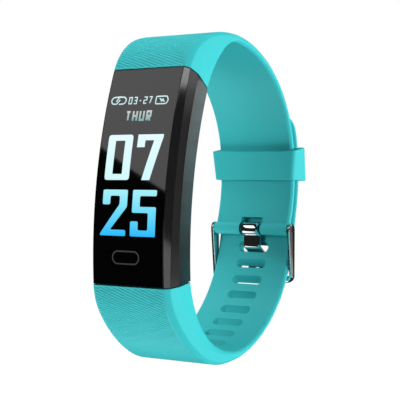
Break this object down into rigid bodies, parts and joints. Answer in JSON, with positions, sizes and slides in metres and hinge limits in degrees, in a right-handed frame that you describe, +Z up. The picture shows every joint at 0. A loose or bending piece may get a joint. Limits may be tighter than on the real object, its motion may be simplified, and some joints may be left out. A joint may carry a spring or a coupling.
{
  "type": "fitness tracker band",
  "caption": "Slim curved-screen activity tracker in a dark case, on a ribbed silicone strap closed by a sprung-pin tongue buckle and a sliding keeper.",
  "frame": {"origin": "middle of the wrist opening inside the closed loop", "axes": "+Z up along the capsule's long side, -Y out of the screen, +Y out through the buckle, +X across the strap"},
  "size_m": [0.0206, 0.0475, 0.0637],
  "materials": {
    "lens_glass": "polished black-backed cover glass",
    "display": "dark display panel",
    "case_plastic": "fine satin black moulding",
    "gasket": "matte black seal",
    "window": "dark clear window",
    "circuit_board": "green solder mask",
    "gold_plate": "gold plated contacts",
    "chip_resin": "moulded black resin",
    "foil": "satin foil",
    "steel": "plain stainless steel",
    "led_resin": "clear green lamp resin",
    "strap_silicone": "moulded teal silicone with fine diagonal ribs",
    "buckle_chrome": "polished buckle"
  },
  "bodies": {
    "tracker": {"cover_lens": "lens_glass", "display_panel": "display", "upper_case": "case_plastic", "lower_case": "case_plastic", "seal_gasket": "gasket", "sensor_window": "window", "main_board": "circuit_board", "sensor_board": "circuit_board", "touch_key_pad": "gold_plate", "processor_chip": "chip_resin", "memory_chip": "chip_resin", "radio_chip": "chip_resin", "motion_sensor_chip": "chip_resin", "charger_chip": "chip_resin", "radio_antenna": "foil", "battery_cell": "foil", "battery_tab_left": "steel", "battery_tab_right": "steel", "pulse_led_upper": "led_resin", "pulse_led_lower": "led_resin", "pulse_photodiode": "chip_resin", "light_shield": "gasket", "motor_base": "steel", "motor_cover": "steel", "usb_tongue": "case_plastic", "usb_contact_1": "gold_plate", "usb_contact_2": "gold_plate", "usb_contact_3": "gold_plate", "usb_contact_4": "gold_plate", "strap_peg": "case_plastic", "short_strap": "strap_silicone", "long_strap_tail": "strap_silicone", "spring_bar_barrel": "steel", "spring_bar_spring": "steel"},
    "strap_arch": {"long_strap_arch": "strap_silicone"},
    "keeper": {"keeper_loop": "strap_silicone"},
    "frame": {"buckle_frame": "buckle_chrome"},
    "tongue": {"buckle_tongue": "buckle_chrome"},
    "tip_left": {"spring_bar_tip_left": "steel"},
    "tip_right": {"spring_bar_tip_right": "steel"},
    "rotor": {"motor_rotor": "steel"}
  },
  "joints": [
    {"name": "strap_release", "type": "hinge", "parent": "tracker", "child": "strap_arch", "pos_m": [0, 0.02075, -0.0164], "axis": [1, 0, 0], "range_deg": [0, 22]},
    {"name": "keeper_slide", "type": "hinge", "parent": "tracker", "child": "keeper", "pos_m": [0, -0.01205, 0.0029], "axis": [1, 0, 0], "range_deg": [-11, 11]},
    {"name": "buckle_frame_swing", "type": "hinge", "parent": "tracker", "child": "frame", "pos_m": [0, 0.02025, -0.00388], "axis": [1, 0, 0], "range_deg": [0, 6]},
    {"name": "buckle_tongue_swing", "type": "hinge", "parent": "frame", "child": "tongue", "pos_m": [0, 0.02025, -0.00388], "axis": [1, 0, 0], "range_deg": [0, 6]},
    {"name": "spring_bar_tip_left_press", "type": "slide", "parent": "tracker", "child": "tip_left", "axis": [1, 0, 0], "range_m": [0, 0.0009], "stiffness_N_per_m": 800},
    {"name": "spring_bar_tip_right_press", "type": "slide", "parent": "tracker", "child": "tip_right", "axis": [-1, 0, 0], "range_m": [0, 0.0009], "stiffness_N_per_m": 800},
    {"name": "motor_rotor_spin", "type": "hinge", "parent": "tracker", "child": "rotor", "pos_m": [0, -0.018, -0.0122], "axis": [0, 1, 0], "continuous": true}
  ]
}
